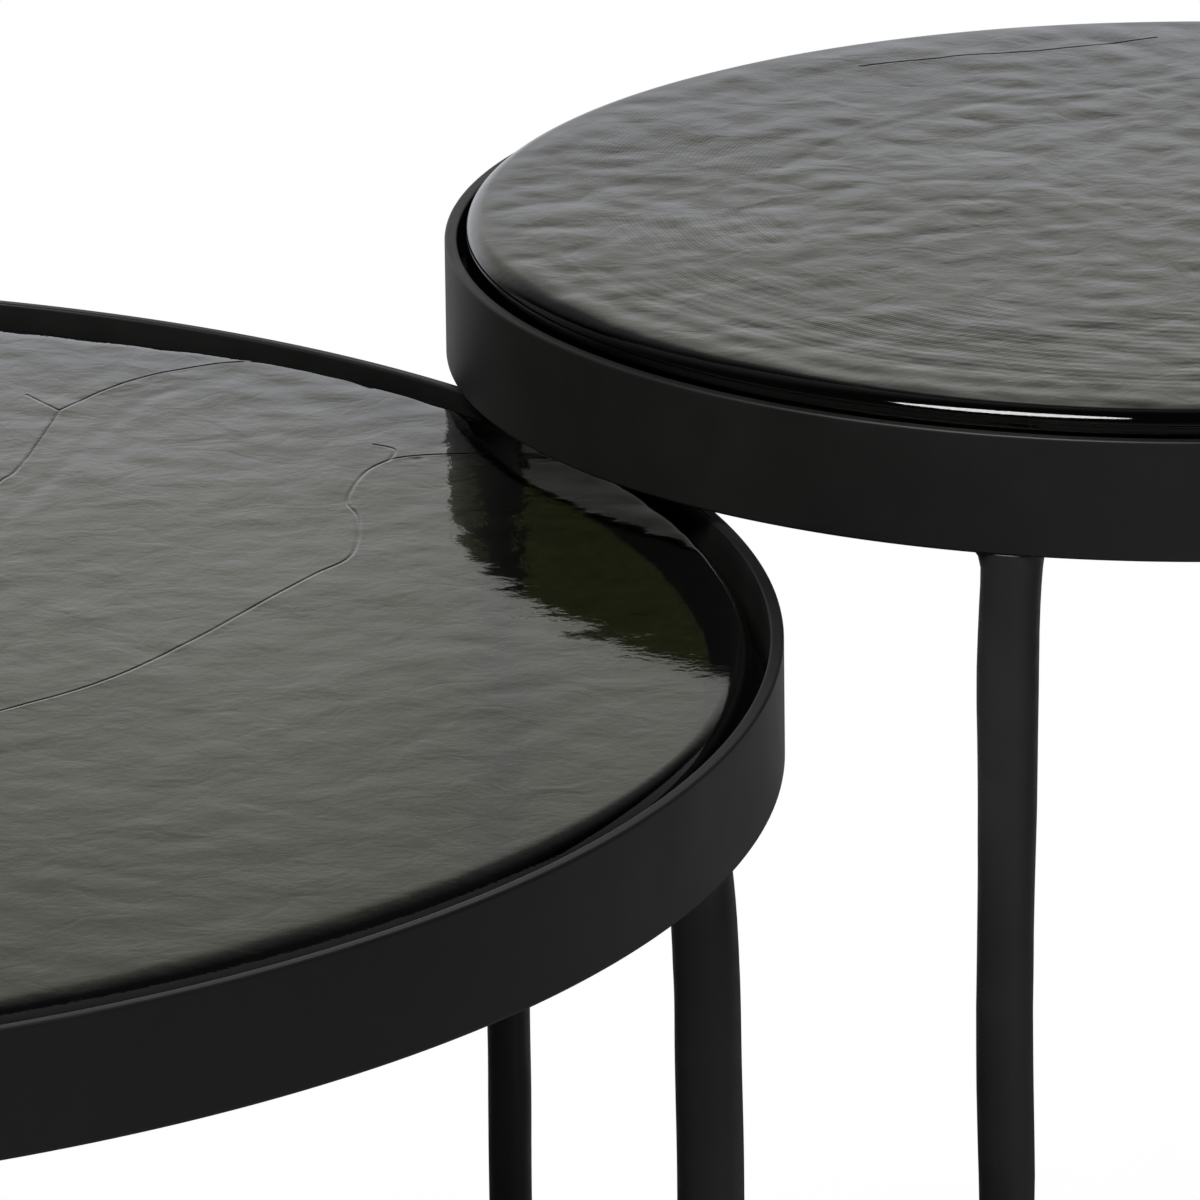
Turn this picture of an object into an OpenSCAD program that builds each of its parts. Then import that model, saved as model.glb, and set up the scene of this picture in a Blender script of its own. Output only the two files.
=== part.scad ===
// Pair of round nesting tables: cast glass discs in flat-bar hoops on hand-forged legs.
// The small table is the taller one, and its hoop passes just over the rim of the large one.
// Units are millimetres. The floor is z = 0, and +X runs from the large table to the small one.

/* [Large table] */
// Outer diameter of the large hoop
large_d = 790; // [700:5:900]
// Height of the top edge of the large hoop above the floor
large_h = 380; // [330:5:450]
// How far the large glass lies below the top edge of its hoop
large_glass_sunk = 2.2; // [0:0.2:6]
// Running gap round the large glass
large_glass_gap = 5.4; // [2:0.2:8]
// Width of the soft shoulder round the large glass
large_shoulder_w = 12; // [8:1:16]
// Size of the large legs along the hoop
large_leg_w = 18; // [14:0.5:24]
// Size of the large legs across the hoop
large_leg_t = 19; // [14:0.5:24]

/* [Small table] */
// Outer diameter of the small hoop
small_d = 480; // [420:5:540]
// Gap between the rim of the large table and the hoop that passes over it
nest_gap = 4; // [3:0.5:12]
// How far the small hoop reaches over the large one at rest, seen from above
nest_overlap = 30; // [10:1:60]
// How far the small glass stands above the top edge of its hoop
small_glass_proud = 7.5; // [2:0.5:10]
// Running gap round the small glass
small_glass_gap = 2.8; // [2:0.2:6]
// Radius of the rounded edge of the small glass
small_edge_r = 5; // [3:0.5:9]
// Size of the small legs along the hoop
small_leg_w = 18.5; // [14:0.5:24]
// Size of the small legs across the hoop
small_leg_t = 15; // [12:0.5:20]

/* [Hoop, ledge and glass] */
// Height of the flat bar that the hoops are rolled from
bar_h = 38; // [34:1:50]
// Thickness of that flat bar
bar_t = 4; // [3:0.5:8]
// Radius worn on the edges of the flat bar
bar_edge_r = 0.8; // [0.4:0.1:1.5]
// Thickness of the cast glass
glass_t = 20; // [16:1:22]
// Width of the ledge welded inside each hoop
ledge_w = 18; // [16:1:24]
// Thickness of the ledge
ledge_t = 4; // [3:0.5:5]

/* [Forging] */
// How fast a forged leg settles from its weld to its own line
settle_len = 45; // [30:5:80]
// Depth of the hammered unevenness
hammer_depth = 0.35; // [0.1:0.05:0.6]
// Length of one hammered wave along a leg
hammer_pitch = 128; // [80:4:200]
// How much more or less than its own share each leg thins towards its foot
extra_taper = 0; // [-0.05:0.01:0.1]
// Size of the weld fillet where a leg meets its hoop
weld_r = 4; // [2:0.5:6]
// Points round a leg
leg_sides = 24; // [16:4:28]

/* [Pads and glides] */
// Diameter of a silicone bumper under the glass
pad_d = 12; // [8:1:14]
// Thickness of a bumper
pad_t = 2; // [1:0.5:3]
// Number of bumpers under each glass
pad_n = 8; // [4:1:12]
// Diameter of the plastic floor glide
glide_d = 13; // [11:0.5:14]
// Height of the glide under the leg
glide_h = 4; // [3:0.5:8]
// Diameter of the stem that the glide is pushed in by
glide_stem_d = 6; // [4:0.5:7]
// Length of that stem
glide_stem_l = 14; // [8:1:20]
// Clearance round the stem
glide_clear = 0.1; // [0.05:0.05:0.3]

/* [Hidden] */

large_r = large_d / 2;
small_r = small_d / 2;
small_h = large_h + nest_gap + bar_h;
nest_dist = large_r + small_r - nest_overlap;
whole_l = large_r + nest_dist + small_r;
large_x = large_r - whole_l / 2;
small_x = large_x + nest_dist;
first_leg = 45;

// Levels, as depths below the top edge of a hoop
large_ledge_z = large_glass_sunk + glass_t + pad_t;
small_ledge_z = glass_t - small_glass_proud + pad_t;

// One row for each leg: sway along the hoop, sway outwards, set-in at the weld,
// weld fillet on either side, phase of the hammer marks and share that it thins to the foot
LARGE_FORGE = [[1.5, 0.8, 1, 1, 0.4, 20, 0.06], [-1, 0.5, 0.6, 0.5, 1, 140, 0.1],
    [0.8, 1, 0.8, 0.6, 0.8, 250, 0.02], [-0.6, 1.4, 1.4, 1, 0.5, 95, -0.08]];
SMALL_FORGE = [[-1.2, 0.6, 0.5, 0.8, 0.5, 60, 0.14], [1, 0.9, 0.4, 0.5, 1, 200, 0.14],
    [-3.1, 0.4, 0.2, 1, 0.2, 210, 0.19], [1.6, 0.7, 0.5, 0.4, 0.9, 115, 0.16]];

leg_rings = 20;
leg_corner = 0.82;
weld_decay = 2.4;

$fn = 96;

// Rounds an ellipse a little towards a rectangle, as a bar keeps its flats under the hammer
function squared(v) = sign(v) * pow(abs(v), leg_corner);

// Depth of the stations down a leg, close together at the weld and wider below
function station(i, len) = len * pow(i / leg_rings, 2.2);

function settle(depth) = 1 - exp(-depth / settle_len);
function hammer(depth, phase) = hammer_depth * (sin(360 * depth / hammer_pitch + phase) - sin(phase));
function thin(f, depth, len) = 1 - (f[6] + extra_taper) * depth / len;

// Centre of a leg's section: [out from the hoop's centre, along the hoop]
function leg_centre(r, thick, f, depth) = [
    r - thick / 2 - f[2] + (f[1] + f[2]) * settle(depth * 2),
    f[0] * settle(depth) + hammer(depth, f[5])];

function leg_point(r, wide, thick, f, depth, len, a) =
    let (down = max(depth, 0),
         c = leg_centre(r, thick, f, down),
         s = squared(sin(a)),
         side = s < 0 ? f[3] : f[4],
         fillet = weld_r * side * exp(-abs(depth) / weld_decay) * abs(s))
    [c[0] + squared(cos(a)) * thick / 2 * thin(f, down, len),
     c[1] + s * (wide / 2 * thin(f, down, len) + fillet + hammer(down, f[5] + 90) / 2)];

// A leg is lofted through its stations, from the underside of the ledge down to the glide
module forged_leg(r, wide, thick, f, rise, len) {
    depths = concat([-rise, -rise / 3, 0], [for (i = [1:leg_rings]) station(i, len)]);
    points = [for (d = depths) for (k = [0:leg_sides - 1])
        concat(leg_point(r, wide, thick, f, d, len, 360 * k / leg_sides), [-d])];
    last = (len(depths) - 1) * leg_sides;
    skin = [for (i = [0:len(depths) - 2]) for (k = [0:leg_sides - 1])
        let (a = i * leg_sides + k, b = i * leg_sides + (k + 1) % leg_sides)
        each [[a, b, a + leg_sides], [b, b + leg_sides, a + leg_sides]]];
    top = [for (k = [leg_sides - 1:-1:0]) k];
    bottom = [for (k = [0:leg_sides - 1]) last + k];
    polyhedron(points = points, faces = concat([top], skin, [bottom]));
}

// Space that a hoop takes, which its legs are notched round
module hoop_notch(r, rise) {
    rotate_extrude()
        translate([r - bar_t, 0]) square([bar_t + 20, rise + 1]);
}

module leg(x, r, h, ledge_z, wide, thick, forge, i) {
    rise = bar_h - ledge_z - ledge_t;
    len = h - bar_h - glide_h;
    foot = leg_centre(r, thick, forge[i], len);
    color("#1c1c1b") translate([x, 0, h - bar_h]) rotate([0, 0, first_leg + 90 * i])
        difference() {
            forged_leg(r, wide, thick, forge[i], rise, len);
            hoop_notch(r, rise);
            translate([foot[0], foot[1], -len])
                cylinder(d = glide_stem_d + 2 * glide_clear, h = 2 * (glide_stem_l + glide_clear), center = true);
        }
}

module glide(x, r, h, thick, forge, i) {
    foot = leg_centre(r, thick, forge[i], h - bar_h - glide_h);
    color("#26272a") translate([x, 0, 0]) rotate([0, 0, first_leg + 90 * i])
        translate([foot[0], foot[1], 0]) {
            rotate_extrude() {
                translate([0, 1]) square([glide_d / 2, glide_h - 1]);
                square([glide_d / 2 - 1, glide_h]);
                translate([glide_d / 2 - 1, 1]) circle(r = 1);
            }
            cylinder(d = glide_stem_d, h = glide_h + glide_stem_l);
        }
}

// Flat bar rolled into a hoop, with its long edges worn round
module hoop(x, r, h) {
    e = bar_edge_r;
    color("#1c1c1b") translate([x, 0, h - bar_h]) rotate_extrude($fn = 180) {
        translate([r - bar_t, e]) square([bar_t, bar_h - 2 * e]);
        translate([r - bar_t + e, 0]) square([bar_t - 2 * e, bar_h]);
        for (u = [r - bar_t + e, r - e], v = [e, bar_h - e]) translate([u, v]) circle(r = e, $fn = 24);
    }
}

module ledge(x, r, h, ledge_z) {
    color("#1c1c1b") translate([x, 0, h - ledge_z - ledge_t]) rotate_extrude($fn = 180)
        translate([r - bar_t - ledge_w, 0]) square([ledge_w, ledge_t]);
}

module pads(x, r, h, ledge_z) {
    color("#3a3b3c") translate([x, 0, h - ledge_z]) for (i = [0:pad_n - 1])
        rotate([0, 0, 360 * (i + 0.5) / pad_n])
            translate([r - bar_t - ledge_w / 2 - 2, 0, 0]) cylinder(d = pad_d, h = pad_t, $fn = 32);
}

module large_ring() hoop(large_x, large_r, large_h);
module small_ring() hoop(small_x, small_r, small_h);

module large_ledge() ledge(large_x, large_r, large_h, large_ledge_z);
module small_ledge() ledge(small_x, small_r, small_h, small_ledge_z);

module large_pads() pads(large_x, large_r, large_h, large_ledge_z);
module small_pads() pads(small_x, small_r, small_h, small_ledge_z);

// Thick cast disc whose edge falls away in a broad soft shoulder
module large_top() {
    r = large_r - bar_t - large_glass_gap;
    shoulder_r = large_shoulder_w * 1.15;
    color("#3b3f38") translate([large_x, 0, large_h - large_glass_sunk - glass_t])
        rotate_extrude($fn = 180) {
            square([r - large_shoulder_w, glass_t]);
            intersection() {
                translate([r - large_shoulder_w, glass_t - shoulder_r]) circle(r = shoulder_r);
                translate([r - large_shoulder_w - 1, 0]) square([large_shoulder_w + 1, glass_t]);
            }
        }
}

// Thick cast disc with a tight rounded edge, standing proud of its hoop
module small_top() {
    r = small_r - bar_t - small_glass_gap;
    e = small_edge_r;
    color("#3b3f38") translate([small_x, 0, small_h + small_glass_proud - glass_t])
        rotate_extrude($fn = 180) {
            square([r - e, glass_t]);
            square([r, glass_t - e]);
            translate([r - e, glass_t - e]) circle(r = e);
        }
}

module large_leg(i) leg(large_x, large_r, large_h, large_ledge_z, large_leg_w, large_leg_t, LARGE_FORGE, i);
module small_leg(i) leg(small_x, small_r, small_h, small_ledge_z, small_leg_w, small_leg_t, SMALL_FORGE, i);
module large_glide(i) glide(large_x, large_r, large_h, large_leg_t, LARGE_FORGE, i);
module small_glide(i) glide(small_x, small_r, small_h, small_leg_t, SMALL_FORGE, i);

large_ring();
large_ledge();
large_pads();
large_top();
large_leg(0);  // large_leg_1
large_leg(1);  // large_leg_2
large_leg(2);  // large_leg_3
large_leg(3);  // large_leg_4
large_glide(0);  // large_glide_1
large_glide(1);  // large_glide_2
large_glide(2);  // large_glide_3
large_glide(3);  // large_glide_4
small_ring();
small_ledge();
small_pads();
small_top();
small_leg(0);  // small_leg_1
small_leg(1);  // small_leg_2
small_leg(2);  // small_leg_3
small_leg(3);  // small_leg_4
small_glide(0);  // small_glide_1
small_glide(1);  // small_glide_2
small_glide(2);  // small_glide_3
small_glide(3);  // small_glide_4
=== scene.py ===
# %% [markdown]
# # Two nesting tables with cast glass tops
# A low round table and a taller, smaller one that slides in over its rim. Each has a hoop of flat bar,
# four forged legs and a thick cast glass disc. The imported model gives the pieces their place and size.
# This script gives them their finish, and makes the hoops, the discs and the legs again with the worn
# corners and the unevenness that rolling, hot glass and a hammer leave.

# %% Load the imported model
import math
import bmesh
import bpy
from mathutils import Matrix, Vector, kdtree, noise


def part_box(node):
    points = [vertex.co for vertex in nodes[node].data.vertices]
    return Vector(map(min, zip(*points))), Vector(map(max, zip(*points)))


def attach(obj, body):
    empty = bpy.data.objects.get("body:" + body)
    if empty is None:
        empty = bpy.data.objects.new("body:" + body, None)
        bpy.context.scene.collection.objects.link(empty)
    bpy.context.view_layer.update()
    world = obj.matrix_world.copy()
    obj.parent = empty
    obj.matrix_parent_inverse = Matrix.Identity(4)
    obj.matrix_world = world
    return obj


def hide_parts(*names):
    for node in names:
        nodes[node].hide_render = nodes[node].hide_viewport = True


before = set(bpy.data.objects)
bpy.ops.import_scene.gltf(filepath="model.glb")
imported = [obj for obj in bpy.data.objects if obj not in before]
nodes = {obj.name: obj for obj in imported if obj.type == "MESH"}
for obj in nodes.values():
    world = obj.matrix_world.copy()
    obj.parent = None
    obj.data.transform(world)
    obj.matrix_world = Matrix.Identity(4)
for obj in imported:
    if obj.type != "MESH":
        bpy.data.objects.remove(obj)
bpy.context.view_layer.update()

MM = 0.001
scene = bpy.context.scene

# %% [markdown]
# ## Sizes
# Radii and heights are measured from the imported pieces, so a table that changes there changes here too.
# Two plain sizes are written down: the thickness of the hoops' flat bar, and that of the glass.

# %% Measure the tables
BAR_T = 4.0 * MM
GLASS_T = 20 * MM


def table(prefix):
    low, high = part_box(prefix + "_ring")
    glass_low, glass_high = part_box(prefix + "_top")
    return {
        "centre": Vector(((low.x + high.x) / 2, (low.y + high.y) / 2, 0)),
        "ring_r": (high.x - low.x) / 2,
        "ring_low": low.z,
        "ring_top": high.z,
        "glass_r": (glass_high.x - glass_low.x) / 2,
        "glass_low": glass_low.z,
        "glass_top": glass_high.z,
    }


large = table("large")
small = table("small")
for name, sizes in (("large", large), ("small", small)):
    print(name, {key: round(value, 4) for key, value in sizes.items() if key != "centre"})

# %% [markdown]
# ## Camera
# A long lens from about four metres, looking down at some 17 degrees. So long a lens flattens the
# ellipses of the tops and keeps the legs almost upright. The camera could be aimed with a constraint, but
# a matrix built from its three axes says plainly where it looks. `behind` and `beside` are the level
# directions away from the camera and to its right, and the floor, the wall and the room are laid by them.

# %% Place the camera
CAMERA_AT = Vector((-1.6758, -3.3988, 1.5398))
CAMERA_YAW = 0.49565
CAMERA_DIP = 0.30293
CAMERA_ROLL = -0.01281
LENS_MM = 387.98

camera = bpy.data.objects.new("camera", bpy.data.cameras.new("camera"))
scene.collection.objects.link(camera)
camera.data.sensor_width = 36
camera.data.lens = LENS_MM
camera.data.clip_end = 60
forward = Vector((math.sin(CAMERA_YAW) * math.cos(CAMERA_DIP),
                  math.cos(CAMERA_YAW) * math.cos(CAMERA_DIP),
                  -math.sin(CAMERA_DIP)))
beside = Vector((math.cos(CAMERA_YAW), -math.sin(CAMERA_YAW), 0))
behind = Vector((forward.x, forward.y, 0)).normalized()
up = beside.cross(forward)
axes = Matrix((beside, up, -forward)).transposed().to_4x4()
turned = axes @ Matrix.Rotation(CAMERA_ROLL, 4, "Z")
camera.matrix_world = Matrix.Translation(CAMERA_AT) @ turned
scene.camera = camera
print("camera looks along", [round(c, 3) for c in forward])

# %% [markdown]
# ## A short way to write shaders
# A finish is a tree of nodes, and joining them one link at a time hides what the tree works out. `Value`
# wraps a socket instead, so that an expression such as `1 - mask * 0.5` adds its own Math nodes.

# %% A socket that does sums
class Value:
    def __init__(self, finish, socket):
        self.finish = finish
        self.socket = socket

    def math(self, operation, *others):
        inputs = dict(enumerate((self,) + others))
        return self.finish.node("ShaderNodeMath", {"operation": operation}, inputs)

    def __add__(self, other):
        return self.math("ADD", other)

    def __sub__(self, other):
        return self.math("SUBTRACT", other)

    def __rsub__(self, other):
        return self * -1 + other

    def __mul__(self, other):
        return self.math("MULTIPLY", other)

    __radd__ = __add__
    __rmul__ = __mul__

    def fit(self, low, high, to_low=0.0, to_high=1.0):
        return self.finish.node("ShaderNodeMapRange", {"interpolation_type": "SMOOTHSTEP"},
                                {"Value": self, "From Min": low, "From Max": high,
                                 "To Min": to_low, "To Max": to_high})


# %% [markdown]
# `Finish` holds one material, or the world. Its `node` method adds any node from a type, its settings and
# the values or links of its inputs, and the methods below it are the few nodes that come again and again.

# %% A finish and its nodes
class Finish:
    def __init__(self, name, owner=None):
        self.material = owner or bpy.data.materials.new(name)
        self.material.use_nodes = True
        self.tree = self.material.node_tree
        self.shader = self.tree.nodes.get("Principled BSDF")

    def node(self, kind, settings=None, inputs=None, output=0):
        made = self.tree.nodes.new(kind)
        for key, value in (settings or {}).items():
            if key == "stops":
                self.set_stops(made.color_ramp.elements, value)
            else:
                setattr(made, key, value)
        for key, value in (inputs or {}).items():
            self.feed(made.inputs[key], value)
        return Value(self, made.outputs[output])

    def set_stops(self, elements, stops):
        while len(elements) < len(stops):
            elements.new(0.5)
        for element, (place, colour) in zip(elements, stops):
            element.position = place
            element.color = colour

    def feed(self, socket, value):
        if isinstance(value, Value):
            self.tree.links.new(value.socket, socket)
        else:
            socket.default_value = value

    def set(self, **inputs):
        for key, value in inputs.items():
            self.feed(self.shader.inputs[key.replace("_", " ")], value)

    def show(self, shader):
        self.tree.links.new(shader.socket, self.tree.nodes["Material Output"].inputs["Surface"])

    def place(self):
        return self.node("ShaderNodeTexCoord", output="Object")

    def vector(self, operation, *inputs):
        output = "Value" if operation in ("LENGTH", "DOT_PRODUCT") else "Vector"
        return self.node("ShaderNodeVectorMath", {"operation": operation}, dict(enumerate(inputs)), output)

    def noise(self, where, scale, detail=2.0, roughness=0.5, distortion=0.0):
        return self.node("ShaderNodeTexNoise", None, {"Vector": where, "Scale": scale, "Detail": detail,
                                                      "Roughness": roughness, "Distortion": distortion})

    def mix(self, factor, first, second):
        return self.node("ShaderNodeMix", {"data_type": "RGBA"}, {0: factor, 6: first, 7: second}, 2)

    def bump(self, height, distance, strength=1.0, normal=None):
        inputs = {"Height": height, "Distance": distance, "Strength": strength}
        if normal:
            inputs["Normal"] = normal
        return self.node("ShaderNodeBump", None, inputs)


def wear(piece, finish):
    piece.data.materials.clear()
    piece.data.materials.append(finish.material)


# %% [markdown]
# ## Black powder coat
# The steel is sprayed with powder and baked. The film is matt, with a very fine orange peel, a little dust
# in the hollows and the odd pinhole. A plain black would look like a hole, so a slow noise moves the colour
# and the roughness a little, and two bumps give the peel and the pinholes. The legs get a rougher coat than
# the hoops, and a paler one. The paleness is painted light, because legs and hoops have the same black
# paint.

# %% Powder coat
PINHOLE_DEEP = 0.08 * MM
DUST = 1.5


def powder_coat(name, tint, peel_deep):
    coat = Finish(name)
    where = coat.place()
    peel = coat.noise(where, 900, 3, 0.6)
    cloud = coat.noise(where, 22, 4, 0.6)
    cells = coat.node("ShaderNodeTexVoronoi", {"feature": "F1"}, {"Vector": where, "Scale": 60})
    pinhole = 1 - cells.fit(0.02, 0.05)
    dusty = tuple(channel * DUST for channel in tint[:3]) + (1,)
    coat.set(Base_Color=coat.mix(cloud.fit(0.35, 0.75), tint, dusty),
             Roughness=cloud.fit(0.2, 0.8, 0.44, 0.52), Metallic=0.0, IOR=1.5)
    fine = coat.bump(peel, peel_deep)
    coat.set(Normal=coat.bump(pinhole * -1, PINHOLE_DEEP, 0.7, fine))
    return coat


hoop_coat = powder_coat("powder_coat_hoop", (0.0068, 0.0067, 0.0064, 1), 0.010 * MM)
# Painted light: the legs' tint is paler than the hoops', though the paint is the same.
leg_coat_painted_light = powder_coat("powder_coat_leg_painted_light", (0.019, 0.019, 0.0185, 1), 0.03 * MM)
for name in ("large_ledge", "small_ledge"):
    wear(nodes[name], hoop_coat)
print("coated:", hoop_coat.material.name, leg_coat_painted_light.material.name)

# %% [markdown]
# ## Small helpers for shapes
# `made_piece` turns a bmesh into an object, `held` keeps a number between two ends, `eased` softens both
# ends of a ramp from 0 to 1, `bell` is a smooth hump of a given width, and `turn_of` is the direction of
# a point in degrees.

# %% Shape helpers
def made_piece(name, mesh):
    data = bpy.data.meshes.new(name)
    mesh.to_mesh(data)
    mesh.free()
    piece = bpy.data.objects.new(name, data)
    scene.collection.objects.link(piece)
    return piece


def shade_smooth(piece):
    for polygon in piece.data.polygons:
        polygon.use_smooth = True


def held(value, low=0.0, high=1.0):
    return min(high, max(low, value))


def eased(share):
    return share * share * (3 - 2 * share)


def bell(gap, width):
    return math.exp(-(gap / width) ** 2)


def turn_of(spot):
    return math.degrees(math.atan2(spot.y, spot.x))


print("one width out, a bell has fallen to", round(bell(1.0, 1.0), 3))

# %% [markdown]
# ## Hoops
# Each hoop is one flat bar rolled into a circle. A bevelled tube would do, but a section that is drawn
# once and spun round the table's axis gives full control of the corners. They are worn to a small radius,
# which catches a thin line of light, and a spare point beside each corner keeps the broad faces flat.

# %% Section of the bar
EDGE_R = 0.8 * MM
SPARE = 0.4 * MM
CORNER_STEPS = ((0, SPARE), (0, 0), (22.5, 0), (45, 0), (67.5, 0), (90, 0), (90, -SPARE))


def rounded_bar(inner, outer, low, high):
    corners = ((outer, low, -90), (outer, high, 0), (inner, high, 90), (inner, low, 180))
    section = []
    for r, z, start in corners:
        middle = Vector((r + (EDGE_R if r == inner else -EDGE_R), z + (EDGE_R if z == low else -EDGE_R)))
        for turn, spare in CORNER_STEPS:
            angle = math.radians(start + turn)
            outward = Vector((math.cos(angle), math.sin(angle)))
            along = Vector((-math.sin(angle), math.cos(angle)))
            section.append(middle + outward * EDGE_R - along * spare)
    return section


print("points round the bar:", 4 * len(CORNER_STEPS))

# %% Spin the hoops
HOOP_STEPS = 360


def rolled_hoop(name, sizes, node_name, body):
    mesh = bmesh.new()
    centre = sizes["centre"]
    bar = rounded_bar(sizes["ring_r"] - BAR_T, sizes["ring_r"], sizes["ring_low"], sizes["ring_top"])
    section = [mesh.verts.new((centre.x + r, centre.y, z)) for r, z in bar]
    edges = [mesh.edges.new((a, b)) for a, b in zip(section, section[1:] + section[:1])]
    bmesh.ops.spin(mesh, geom=section + edges, cent=centre, axis=(0, 0, 1), angle=2 * math.pi,
                   steps=HOOP_STEPS, use_merge=True)
    bmesh.ops.recalc_face_normals(mesh, faces=mesh.faces)
    hoop = made_piece(name, mesh)
    shade_smooth(hoop)
    wear(hoop, hoop_coat)
    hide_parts(node_name)
    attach(hoop, body)
    print(name, "has", len(hoop.data.polygons), "faces")


rolled_hoop("large_hoop", large, "large_ring", "large_table")
rolled_hoop("small_hoop", small, "small_ring", "small_table")

# %% [markdown]
# ## Cast glass
# The glass is poured hot into a mould. It is so dark that it looks black, and only where light comes up
# through the open hoop does it show its olive tint, so it is real tinted glass here and not a painted
# skin. The polish comes from the fire and not from grinding, so the skin waves a little: the larger waves
# are real geometry, and the small lumps, the fine grain and the fine lines of flow are bumps.

# %% Where the glass is lumpy
LEVEL = (1, 1, 0)
RIM_CALM = 0.25


def lumpiness(glass, where, sizes, rough_side):
    middle = glass.vector("SUBTRACT", where, sizes["centre"])
    radius = glass.vector("LENGTH", glass.vector("MULTIPLY", middle, LEVEL))
    toward = glass.vector("DOT_PRODUCT", middle, rough_side)
    calm_rim = radius.fit(sizes["glass_r"] - 4 * MM, sizes["glass_r"] - 16 * MM, RIM_CALM, 1.0)
    return toward.fit(-0.30, 0.30, 0.6, 1.6) * calm_rim


print("the rim of the glass keeps", RIM_CALM, "of its lumps")

# %% [markdown]
# The lines of flow are rings round a point, like the rings that a pour leaves, and they show only in a
# patch on one side of it. Each row gives that point, the pitch and depth of the rings, the patch's inner
# and outer reach, all in millimetres, and the side it faces. The height is left out of the distance,
# because the point lies on the floor and the glass far above it. A slow noise bends the rings, and
# another breaks the patch up, so that they don't look turned on a lathe.

# %% Lines of flow
PATCH_FADE = 14 * MM


def flow_lines(glass, where, centre, flows):
    warp = glass.noise(where, 16, 2, 0.5)
    broken = glass.noise(where, 19, 1, 0.5).fit(0.38, 0.54)
    level = glass.vector("MULTIPLY", where, LEVEL)
    height = 0.0
    for at, pitch, depth, inner, outer, face in flows:
        start = (centre.x + at[0] * MM, centre.y + at[1] * MM, 0)
        origin = glass.vector("SUBTRACT", level, start)
        reach = glass.vector("LENGTH", origin)
        side = glass.vector("DOT_PRODUCT", origin, (face[0], face[1], 0))
        wave = ((reach + warp * 0.009) * (2 * math.pi / (pitch * MM))).math("SINE")
        patch = reach.fit(inner * MM, inner * MM + PATCH_FADE)
        patch = patch * reach.fit(outer * MM, outer * MM - PATCH_FADE) * side.fit(0.02, 0.10) * broken
        height = height + wave * patch * depth
    return height


print("the patches of flow fade over", PATCH_FADE / MM, "mm")

# %% Glass finish
DEEP_OLIVE = (0.0096, 0.0110, 0.0024, 1)
CLEAR_OLIVE = (0.0145, 0.0166, 0.0044, 1)
GRAIN_DEEP = 0.028 * MM


def cast_glass(name, sizes, lumps_deep, rough_side, flows):
    glass = Finish(name)
    where = glass.place()
    amount = lumpiness(glass, where, sizes, rough_side)
    lumps = glass.noise(where, 58, 5, 0.56, 0.25)
    folds = (glass.noise(where, 47, 3, 0.5, 0.6) - 0.5).math("ABSOLUTE")
    skin = glass.noise(where, 330, 3, 0.6)
    streaks = glass.noise(where, 150, 4, 0.7)
    glass.set(Base_Color=glass.mix(streaks.fit(0.35, 0.65), DEEP_OLIVE, CLEAR_OLIVE),
              Roughness=skin.fit(0.3, 0.8, 0.03, 0.06), Metallic=0.0, IOR=1.5, Transmission_Weight=1.0)
    fine = glass.bump(skin, GRAIN_DEEP)
    finer = glass.bump((lumps + folds * 1.3) * amount, lumps_deep, 1.0, fine)
    glass.set(Normal=glass.bump(flow_lines(glass, where, sizes["centre"], flows), MM, 1.0, finer))
    return glass


SMALL_FLOWS = [
    ((25, 15), 1.5, 0.008, 145, 225, (-0.88, 0.48)),
    ((25, 15), 4.6, 0.012, 140, 240, (-0.80, -0.60)),
]
LARGE_FLOWS = [((120, -90), 1.7, 0.0045, 180, 330, (-0.75, 0.65))]
small_glass = cast_glass("cast_glass_small", small, 0.24 * MM, Vector((0.45, 0.22, 0)), SMALL_FLOWS)
large_glass = cast_glass("cast_glass_large", large, 0.17 * MM, Vector((-0.10, 0.99, 0)), LARGE_FLOWS)
print("glass:", small_glass.material.name, large_glass.material.name)

# %% [markdown]
# ## The skin of the glass
# Hot glass chills in dimples and folds. A displacement texture could give them, but worked out point by
# point they can be calmed at the rim and kept under the top. `dimples` adds three sizes of noise, the
# middle one folded so that its lumps meet in soft valleys.

# %% Dimples
BEND = 0.02
FOLD_SOFTNESS = 0.006


def dimples(spot, seed, depth):
    p = Vector((spot.x, spot.y, seed))
    bend = Vector((noise.noise(p * 6), noise.noise(p * 6 + Vector((9, 4, 0))), 0)) * BEND
    q = p + bend
    broad = noise.noise(Vector((q.x * 14, q.y * 14, seed)))
    middle = noise.noise(Vector((q.x * 36, q.y * 36, seed + 3)))
    folded = math.sqrt(middle * middle + FOLD_SOFTNESS)
    fine = noise.noise(Vector((q.x * 84, q.y * 84, seed + 7)))
    return depth * (0.45 * broad + 0.62 * folded + 0.20 * fine - 0.10)


print("dimples at the small centre:", round(dimples(small["centre"], 2.0, 1.0), 3), "of their depth")

# %% [markdown]
# A crease is a line where two tongues of hot glass met. Its points are joined by a smooth curve, a tree
# of close points along the curve tells any spot how far the crease is, and `groove` gives the dent at
# that distance, with a low lip on each side.

# %% Creases
CURVE_STEPS = 6
TRACE_STEPS = 8


def on_curve(a, b, c, d, share):
    return 0.5 * ((2 * b) + (c - a) * share + (2 * a - 5 * b + 4 * c - d) * share * share
                  + (3 * b - a - 3 * c + d) * share ** 3)


def smooth_path(points, centre):
    ends = [points[0]] + points + [points[-1]]
    curve = []
    for run in zip(ends, ends[1:], ends[2:], ends[3:]):
        for step in range(CURVE_STEPS):
            x, y = (on_curve(*(point[axis] for point in run), step / CURVE_STEPS) for axis in (0, 1))
            curve.append(Vector((centre.x + x * MM, centre.y + y * MM)))
    curve.append(Vector((centre.x + points[-1][0] * MM, centre.y + points[-1][1] * MM)))
    return curve


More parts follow.
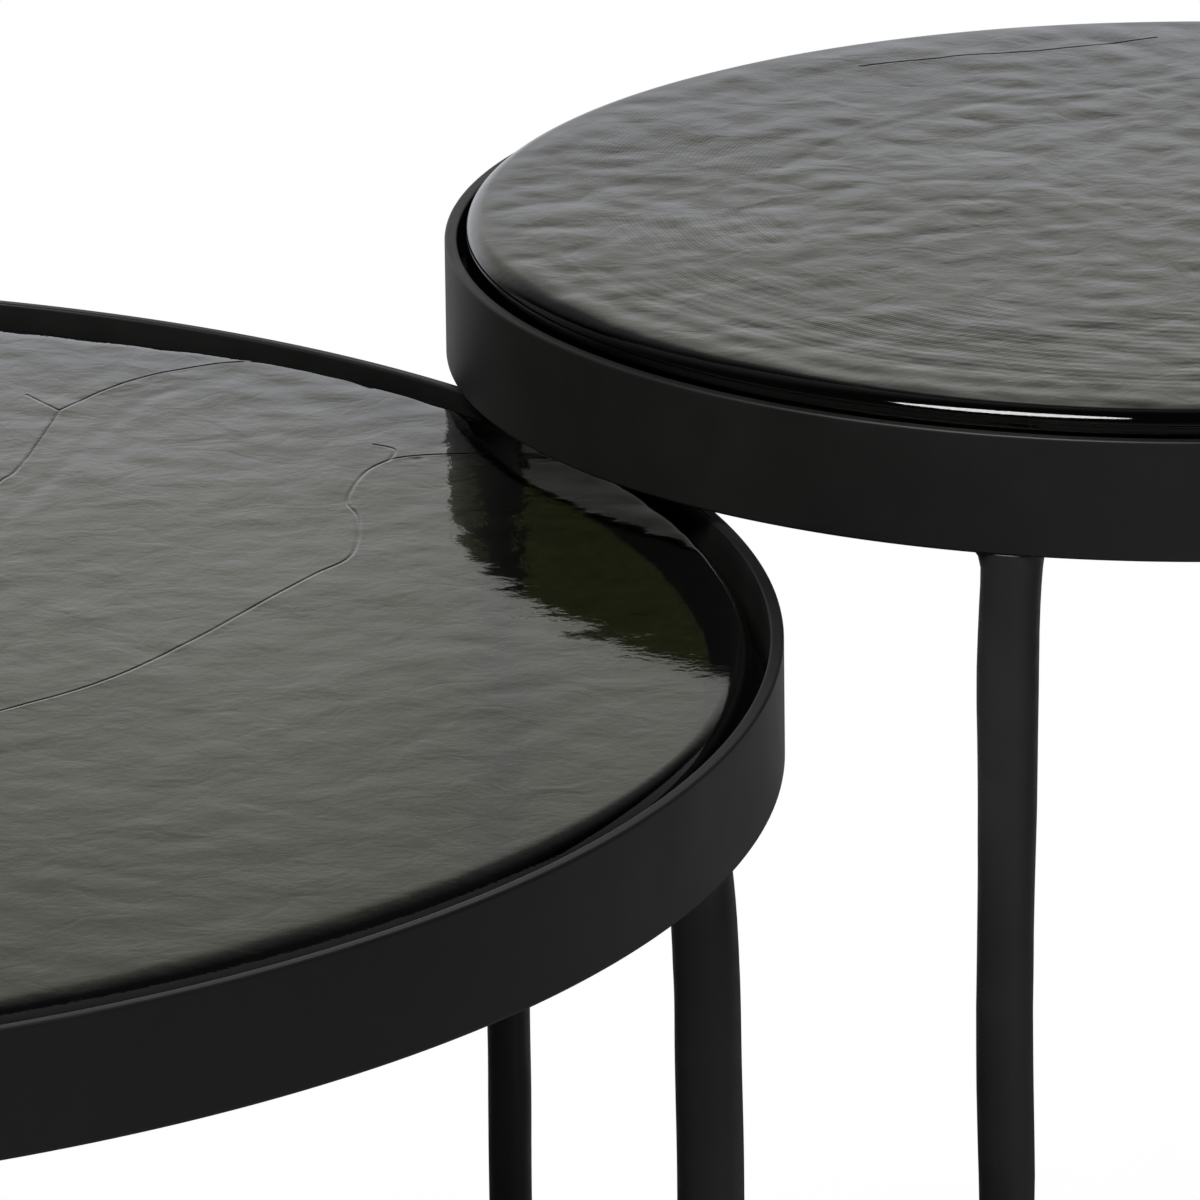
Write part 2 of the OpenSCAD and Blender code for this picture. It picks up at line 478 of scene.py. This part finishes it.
def distance_to(paths):
    spots = []
    for path in paths:
        for start, end in zip(path, path[1:]):
            spots += [start.lerp(end, step / TRACE_STEPS) for step in range(TRACE_STEPS + 1)]
    tree = kdtree.KDTree(len(spots))
    for index, spot in enumerate(spots):
        tree.insert((spot.x, spot.y, 0), index)
    tree.balance()
    return lambda spot: tree.find((spot.x, spot.y, 0))[2]


def groove(gap, width, depth):
    lip = 0.12 * depth * bell(gap - 2.4 * width, 1.5 * width)
    return lip - depth * bell(gap, width)


print("a crease is", round(-groove(0.0, 1.0, 1.0), 3), "of its depth at its middle")

# %% [markdown]
# ## Casting a disc
# A square grid is bent into a round one, so that its cells stay nearly even, where a fan of triangles
# would pinch at the centre. Where a crease runs, the cells are cut finer. The rim is then extruded ring by
# ring over the shoulder, down the side and under, and the skin is lowered last. Every height is at or
# below zero, so the disc stays under its measured top. The shoulder rolls over in an oval arc, and
# `widen` says how much wider it is in each direction, because a poured rim never cools evenly.

# %% Roll of the edge
def rolled_shoulder(width, fall, sweep, sides):
    long_r = width / math.sin(math.radians(sweep))
    tall_r = fall / (1 - math.cos(math.radians(sweep)))
    rings = []
    for step in range(sides):
        angle = math.radians(sweep * step / sides)
        rings.append((width - long_r * math.sin(angle), tall_r * (1 - math.cos(angle))))
    rings += [(0.35 * MM, fall - 0.5 * MM), (0.08 * MM, fall - 0.1 * MM), (0.0, fall + 0.4 * MM)]
    rings += [(0.0, (fall + GLASS_T) / 2), (0.0, GLASS_T - 1.2 * MM), (1.2 * MM, GLASS_T)]
    return rings


print("rings over and under an edge of 11 steps:", len(rolled_shoulder(5 * MM, 5 * MM, 88, 11)))

# %% Parts of a disc
FINE_REACHES = (4.0 * MM, 2.0 * MM, 1.2 * MM)


def round_blank(mesh, sizes, cells, flat_inset, widen):
    bmesh.ops.create_grid(mesh, x_segments=cells, y_segments=cells, size=1.0)
    for vert in mesh.verts:
        x, y = vert.co.xy
        spot = Vector((x * math.sqrt(1 - y * y / 2), y * math.sqrt(1 - x * x / 2)))
        flat_r = sizes["glass_r"] - flat_inset * widen(turn_of(spot))
        vert.co.xy = sizes["centre"].xy + spot * flat_r
        vert.co.z = sizes["glass_top"]


def cut_finer(mesh, crease):
    for reach in FINE_REACHES:
        near = [edge for edge in mesh.edges if crease((edge.verts[0].co + edge.verts[1].co) / 2) < reach]
        bmesh.ops.subdivide_edges(mesh, edges=near, cuts=1, use_grid_fill=True)


def roll_rim(mesh, sizes, rings, widen):
    rim = [edge for edge in mesh.edges if edge.is_boundary]
    for inward, drop in rings:
        made = bmesh.ops.extrude_edge_only(mesh, edges=rim)["geom"]
        for vert in (item for item in made if isinstance(item, bmesh.types.BMVert)):
            out = vert.co.xy - sizes["centre"].xy
            inset = inward * widen(turn_of(out))
            vert.co.xy = sizes["centre"].xy + out.normalized() * (sizes["glass_r"] - inset)
            vert.co.z = sizes["glass_top"] - drop
        rim = [item for item in made if isinstance(item, bmesh.types.BMEdge)]
    return bmesh.ops.contextual_create(mesh, geom=rim)["faces"]


def lower_skin(mesh, sizes, skin):
    low = sizes["glass_low"]
    for vert in mesh.verts:
        share = held((vert.co.z - low) / (sizes["glass_top"] - low) * 2 - 0.9)
        vert.co.z += skin(vert.co) * share


print("cells near a crease are cut", len(FINE_REACHES), "times")

# %% Disc of cast glass
def cast_disc(name, sizes, shoulder, cells, skin, crease, widen):
    mesh = bmesh.new()
    round_blank(mesh, sizes, cells, shoulder[0][0], widen)
    cut_finer(mesh, crease)
    underside = roll_rim(mesh, sizes, shoulder[1:], widen)
    lower_skin(mesh, sizes, skin)
    bmesh.ops.recalc_face_normals(mesh, faces=mesh.faces)
    for face in mesh.faces:
        face.smooth = face not in underside
    disc = made_piece(name, mesh)
    print(name, "has", len(disc.data.polygons), "faces")
    return disc


# %% [markdown]
# ## Small disc
# The small glass is the lumpier one. It has one crease and one broad fold, a few pits, and low ridges
# that run round its outer part and are strongest at the front.

# %% Skin of the small disc
SMALL_SEED = 2.0
SMALL_SINK = 0.36 * MM
SMALL_PITS = [(-50, -29), (2, 36), (-31, -46), (-103, -42), (-120, -95), (-60, 60), (40, -20), (-20, 10)]
small_crease = distance_to([
    smooth_path([(-8, 203), (27, 197), (60, 188), (95, 184)], small["centre"]),
])
small_fold = distance_to([
    smooth_path([(-125, 70), (-95, 105), (-45, 132), (10, 142), (70, 132), (160, 118)], small["centre"]),
])


def small_skin(co):
    spot = co.xy - small["centre"].xy
    reach = spot.length / MM
    inset = small["glass_r"] / MM - reach
    front = held(-spot.dot(behind.xy) / 0.1)
    calm = held((inset - 3) / 7) * (1 - 0.35 * front)
    height = dimples(co, SMALL_SEED, 1.05 * MM * calm)
    swirl = noise.noise(Vector((co.x * 12, co.y * 12, SMALL_SEED + 20)))
    ridge = math.sin((spot - Vector((0.025, 0.015))).length / (2.6 * MM) + swirl * 4)
    height += (0.02 + 0.035 * front) * MM * ridge * held((reach - 110) / 50)
    height -= 0.20 * MM * math.exp(-max(0.0, inset - 5) / 6)
    height += groove(small_crease(co), 0.5 * MM, 0.18 * MM)
    height += groove(small_fold(co), 2.2 * MM, 0.09 * MM)
    for pit in SMALL_PITS:
        height -= 0.25 * MM * bell((spot - Vector(pit) * MM).length, 0.9 * MM)
    return min(0.0, height - SMALL_SINK)


print("small skin: one crease, one fold and", len(SMALL_PITS), "pits")

# %% Cast the small disc
SMALL_WIDEST = -170


def small_widen(turn):
    away = (turn - SMALL_WIDEST + 180) % 360 - 180
    return 1.0 + 0.75 * bell(away, 24)


small_disc = cast_disc("small_cast_top", small, rolled_shoulder(5 * MM, 5 * MM, 88, 11), 270, small_skin,
                       small_crease, small_widen)
wear(small_disc, small_glass)
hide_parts("small_top")
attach(small_disc, "small_glass")

# %% [markdown]
# ## Large disc
# The large glass is calmer. Its shoulder is wide and soft, and narrows on the side of the small table. A
# long branching crease crosses it, beside a broad fold and a faint seam, and its far edge is restless.

# %% Creases of the large disc
LARGE_PIT = (339, 31)
large_crease = distance_to([
    smooth_path([(332, 35), (318, 26), (300, 3), (294, -16), (275, -48), (256, -60), (228, -78),
                 (188, -104), (150, -124), (100, -136), (40, -150)], large["centre"]),
    smooth_path([(332, 35), (338, 44), (335, 52)], large["centre"]),
    smooth_path([(332, 35), (342, 34), (362, 25)], large["centre"]),
    smooth_path([(190, 50), (216, 76), (229, 88), (267, 137)], large["centre"]),
    smooth_path([(267, 137), (266, 158)], large["centre"]),
    smooth_path([(267, 137), (288, 149), (310, 157), (333, 158), (348, 153)], large["centre"]),
])
large_fold = distance_to([
    smooth_path([(150, -20), (197, 36), (239, 80), (287, 127), (310, 140)], large["centre"]),
])
large_seam = distance_to([smooth_path([(251, -189), (220, -210), (164, -253)], large["centre"])])
pit_gap = large_crease(large["centre"].xy + Vector(LARGE_PIT) * MM)
print("the pit of the large disc lies", round(pit_gap / MM, 1), "mm from its crease")

# %% Skin of the large disc
LARGE_SEED = 11.0
LARGE_SINK = 0.30 * MM


def large_skin(co):
    spot = co.xy - large["centre"].xy
    inset = large["glass_r"] - spot.length
    back = held(spot.dot(behind.xy) / 0.15)
    calm = held((inset - 10 * MM) / (22 * MM), low=0.15) * held(0.95 + spot.y * 2.0, 0.55, 1.5)
    height = dimples(co, LARGE_SEED, 0.50 * MM * max(calm, back))
    restless = noise.noise(Vector((co.x * 75, co.y * 75, LARGE_SEED + 30)))
    height += 0.30 * MM * restless * back * bell(inset, 18 * MM)
    height += groove(large_crease(co), 0.45 * MM, 0.17 * MM)
    height += groove(large_fold(co), 2.2 * MM, 0.18 * MM)
    height += groove(large_seam(co), 1.2 * MM, 0.03 * MM)
    height -= 0.4 * MM * bell((spot - Vector(LARGE_PIT) * MM).length, 1.1 * MM)
    return min(0.0, height - LARGE_SINK)


print("large skin: six creases, a fold, a seam and a pit")

# %% Cast the large disc
NARROW = 0.26


def large_widen(turn):
    front = held((-40 - turn) / 42)
    back = held((turn - 18) / 20)
    return NARROW + (1 - NARROW) * max(eased(front), eased(back))


large_disc = cast_disc("large_cast_top", large, rolled_shoulder(22 * MM, 6 * MM, 76, 12), 260, large_skin,
                       large_crease, large_widen)
wear(large_disc, large_glass)
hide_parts("large_top")
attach(large_disc, "large_table")

# %% [markdown]
# ## Forged legs
# Each leg is a bar drawn out under the hammer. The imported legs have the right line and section, so a copy
# of each is welded into one skin, cut finer and given the shallow flats that a hammer leaves, so that
# light runs down it unevenly. The foot and the top are left alone, because other pieces meet them.

# %% Legs
HAMMER_DEEP = 0.35 * MM
LONG_EDGE = 9 * MM


def hammered(mesh):
    low = min(vert.co.z for vert in mesh.verts)
    high = max(vert.co.z for vert in mesh.verts)
    mesh.normal_update()
    for vert in mesh.verts:
        free = held((vert.co.z - low - 2 * MM) / (6 * MM))
        free *= held((high - 40 * MM - vert.co.z) / (10 * MM))
        dent = noise.noise(Vector((vert.co.x * 60, vert.co.y * 60, vert.co.z * 28)))
        vert.co += vert.normal * dent * HAMMER_DEEP * free


def forged_skin(node_name, body):
    mesh = bmesh.new()
    mesh.from_mesh(nodes[node_name].data)
    bmesh.ops.remove_doubles(mesh, verts=mesh.verts, dist=0.02 * MM)
    long_edges = [edge for edge in mesh.edges if edge.calc_length() > LONG_EDGE]
    bmesh.ops.subdivide_edges(mesh, edges=long_edges, cuts=3, use_grid_fill=True)
    bmesh.ops.triangulate(mesh, faces=[face for face in mesh.faces if len(face.verts) > 4])
    hammered(mesh)
    skin = made_piece(node_name + "_forged", mesh)
    shade_smooth(skin)
    skin.data.set_sharp_from_angle(angle=math.radians(50))
    wear(skin, leg_coat_painted_light)
    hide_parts(node_name)
    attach(skin, body)


for prefix in ("large", "small"):
    for number in range(1, 5):
        forged_skin(f"{prefix}_leg_{number}", prefix + "_table")
print("legs forged: 8")

# %% [markdown]
# ## Pads and glides
# Dark grey silicone bumpers carry the glass on the ledge, and each leg ends in a moulded glide with a
# faint grain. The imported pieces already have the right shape, so they only get their finish.

# %% Small plastic pieces
def moulded_plastic(name, dark, pale, cloud_scale, grain_scale, roughness):
    plastic = Finish(name)
    where = plastic.place()
    plastic.set(Base_Color=plastic.mix(plastic.noise(where, cloud_scale), dark, pale), Roughness=roughness)
    plastic.set(Normal=plastic.bump(plastic.noise(where, grain_scale), 0.02 * MM))
    return plastic


silicone = moulded_plastic("silicone", (0.03, 0.03, 0.03, 1), (0.045, 0.045, 0.047, 1), 80, 700, 0.4)
glide = moulded_plastic("glide_plastic", (0.016, 0.016, 0.017, 1), (0.024, 0.024, 0.025, 1), 60, 1200, 0.5)
for name, node in nodes.items():
    if "pads" in name:
        wear(node, silicone)
    if "glide" in name:
        wear(node, glide)
print("plastic:", silicone.material.name, glide.material.name)

# %% [markdown]
# ## Floor
# A strip of white paper lies under the tables and runs far behind them. Beside it the floor is dark, so the
# hoops mirror a dark room at their flanks and stay black. Within the strip, the paper's colour is painted
# paler towards the back and to the right. This is a painted pool of light for the hoops and the glass to
# mirror. A camera sees clean white all over, except for the shade under the tables. That shade comes from
# how much of the sky each spot has over it, so it follows a table that slides, where a painted one would
# stay behind.

# %% Floor finish
FLOOR_DARK = 0.06
SHADE_REACH = 0.45
SHADE_DEPTH = 0.4

paper = Finish("floor_paper")
spot = paper.place()
deep = paper.vector("DOT_PRODUCT", spot, behind)
wide = paper.vector("DOT_PRODUCT", spot, beside)
strip = wide.fit(-0.95, -0.45) * wide.fit(1.7, 1.2)
# Painted light: the paper is paler towards the back and to the right, as if it were lit more there.
paper_tone_painted_light = FLOOR_DARK + strip * deep.fit(-0.1, 0.9, 0.385, 0.76) * wide.fit(-0.3, 0.7, 0.75, 1.32)
paper.set(Base_Color=paper.node("ShaderNodeCombineColor", None, {0: paper_tone_painted_light, 1: paper_tone_painted_light, 2: paper_tone_painted_light}),
          Roughness=0.9)
covered = paper.node("ShaderNodeAmbientOcclusion", {"samples": 12}, {"Distance": SHADE_REACH}, "AO")
shade = covered.fit(0.88, 0.55) * deep.fit(0.95, 0.8)
seen = paper.node("ShaderNodeLightPath", output="Is Camera Ray") * (1 - shade * SHADE_DEPTH)
seen = seen.math("MAXIMUM", paper.node("ShaderNodeLightPath", output="Is Transmission Ray"))
white = paper.node("ShaderNodeEmission", None, {"Color": (1, 1, 1, 1), "Strength": 1.0})
paper.show(paper.node("ShaderNodeMixShader", None,
                      {0: seen, 1: Value(paper, paper.shader.outputs[0]), 2: white}))
print("the shade reaches", SHADE_REACH, "m round what covers it")

# %% Lay the floor
FLOOR_SINK = -0.0005


def stage_sheet(name, corners, finish):
    mesh = bmesh.new()
    mesh.faces.new([mesh.verts.new(corner) for corner in corners])
    sheet = made_piece(name, mesh)
    wear(sheet, finish)
    return sheet


corners = [behind * depth + beside * aside + Vector((0, 0, FLOOR_SINK))
           for depth, aside in ((-2.6, -6), (-2.6, 6), (14, 6), (14, -6))]
floor = stage_sheet("floor", corners, paper)
print("floor reaches", round(floor.dimensions.length, 1), "m from corner to corner")

# %% [markdown]
# ## Lit wall
# The glass is seen at a low angle, so it mirrors what stands behind it. That is a white wall, brightest
# a little above its foot, which grows darker towards the top and to the sides. The slope of its light is
# what makes the waves of the glass show. A lamp on a real wall could do this, but a wall that glows by
# its own stops puts each tone where it is wanted. The camera itself doesn't see it.

# %% Wall finish
WALL_BACK = 1.5
WALL_HALF = 1.3
WALL_HIGH = 2.0
WALL_STOPS = [
    (0.0, (0.52, 0.52, 0.51, 1)),
    (0.10, (0.66, 0.66, 0.65, 1)),
    (0.19, (0.93, 0.95, 1.0, 1)),
    (0.36, (0.92, 0.93, 0.97, 1)),
    (0.43, (0.73, 0.74, 0.70, 1)),
    (0.50, (0.46, 0.47, 0.435, 1)),
    (0.62, (0.155, 0.158, 0.165, 1)),
    (0.85, (0.035, 0.037, 0.04, 1)),
]

glow = Finish("lit_wall")
spot = glow.place()
high = glow.node("ShaderNodeSeparateXYZ", None, {0: spot}, "Z")
wide = glow.vector("DOT_PRODUCT", spot, beside)
fade = wide.fit(-0.02, 0.10, 1.0, 0.862) + wide.fit(0.2, 0.6, 0.0, 0.05)
share = wide.math("ABSOLUTE").fit(0.45, 1.15, 1.0, 0.12) * fade
levels = glow.node("ShaderNodeValToRGB", {"stops": WALL_STOPS}, {"Fac": high * (1 / WALL_HIGH)})
glow.tree.nodes.remove(glow.shader)
glow.show(glow.node("ShaderNodeEmission", None,
                    {"Color": glow.mix(share, (0, 0, 0, 1), levels), "Strength": 1.0}))
print("the wall has", len(WALL_STOPS), "levels of light")

# %% Stand the wall up
corners = [behind * WALL_BACK + beside * aside + Vector((0, 0, up_to))
           for aside, up_to in ((-WALL_HALF, 0.0), (WALL_HALF, 0.0), (WALL_HALF, WALL_HIGH),
                                (-WALL_HALF, WALL_HIGH))]
wall = stage_sheet("lit_wall", corners, glow)
wall.visible_camera = False
print("wall stands", WALL_BACK, "m behind")

# %% [markdown]
# ## World and lamp
# The room is dim behind the tables and nearly dark all round, with a faint low band on the near side, so
# that the tops aren't plain black from behind. It is a plain formula of direction, and a picture of a
# room isn't needed. One wide oval soft box hangs in front, to the left and high up. It draws the thin
# bright streak along the rounded edge of the small glass.

# %% World
ROOM_DARK = 0.028
ROOM_DIM = 0.25
NEAR_BAND = 0.12

room = Finish("studio", bpy.data.worlds.new("studio"))
scene.world = room.material
room.tree.nodes.clear()
look = room.node("ShaderNodeTexCoord", output="Generated")
ahead = room.vector("DOT_PRODUCT", look, behind)
raised = room.node("ShaderNodeSeparateXYZ", None, {0: look}, "Z")
light = ahead.fit(0.15, 1.0, ROOM_DARK, ROOM_DIM) + ahead.fit(0.35, -0.25) * raised.fit(0.6, 0.2) * NEAR_BAND
light = light.math("MAXIMUM", room.node("ShaderNodeLightPath", output="Is Camera Ray"))
shell = room.node("ShaderNodeBackground", None, {"Color": (1, 1, 1, 1), "Strength": light})
out = room.tree.nodes.new("ShaderNodeOutputWorld")
room.tree.links.new(shell.socket, out.inputs["Surface"])
print("room:", ROOM_DARK, "to", ROOM_DIM, "with a near band of", NEAR_BAND)

# %% Soft box
LAMP_AT = Vector((-1.06, -0.59, 2.35))
LAMP_AIM = Vector((0.3, 0, 0.4))

lamp = bpy.data.lights.new("soft_box", "AREA")
lamp.shape = "ELLIPSE"
lamp.size = 1.3
lamp.size_y = 0.9
lamp.energy = 50
soft_box = bpy.data.objects.new("soft_box", lamp)
scene.collection.objects.link(soft_box)
soft_box.location = LAMP_AT
soft_box.rotation_euler = (LAMP_AIM - LAMP_AT).to_track_quat("-Z", "Y").to_euler()
scene.view_settings.view_transform = "Standard"
print("soft box of", lamp.energy, "W hangs", round(LAMP_AT.z, 2), "m up")
